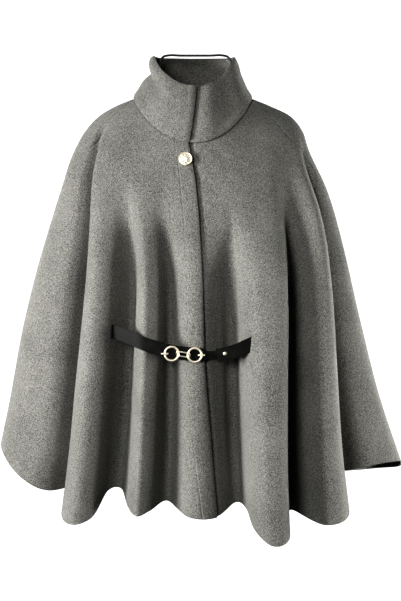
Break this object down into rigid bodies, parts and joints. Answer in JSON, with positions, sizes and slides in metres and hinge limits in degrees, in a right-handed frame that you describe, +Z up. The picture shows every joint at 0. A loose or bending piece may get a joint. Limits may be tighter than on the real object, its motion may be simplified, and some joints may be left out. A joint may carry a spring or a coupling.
{
  "type": "wool poncho on a wire hanger",
  "caption": "Short wool cape poncho with deep soft folds, a funnel collar, a metal button and a leather belt with a ring clasp, hung on a plain rod hanger.",
  "frame": {"origin": "the middle of the hanger's flat top bar, where the poncho is held", "axes": "+X to the viewer's right, +Y to the back of the garment, +Z up"},
  "size_m": [0.775, 0.384, 0.8921],
  "materials": {
    "wool": "matt grey melton with a short nap",
    "leather": "smooth black, slightly glossy",
    "metal": "polished, pale gold",
    "rod": "black, satin"
  },
  "bodies": {
    "root": {"front_left": "wool", "front_right": "wool", "back": "wool", "collar": "wool", "button": "metal", "strap_left": "leather", "strap_right": "leather", "rivet": "metal", "ring_left": "metal", "ring_right": "metal", "link": "metal", "staple_left": "metal", "staple_right": "metal", "hanger": "rod"}
  },
  "joints": []
}
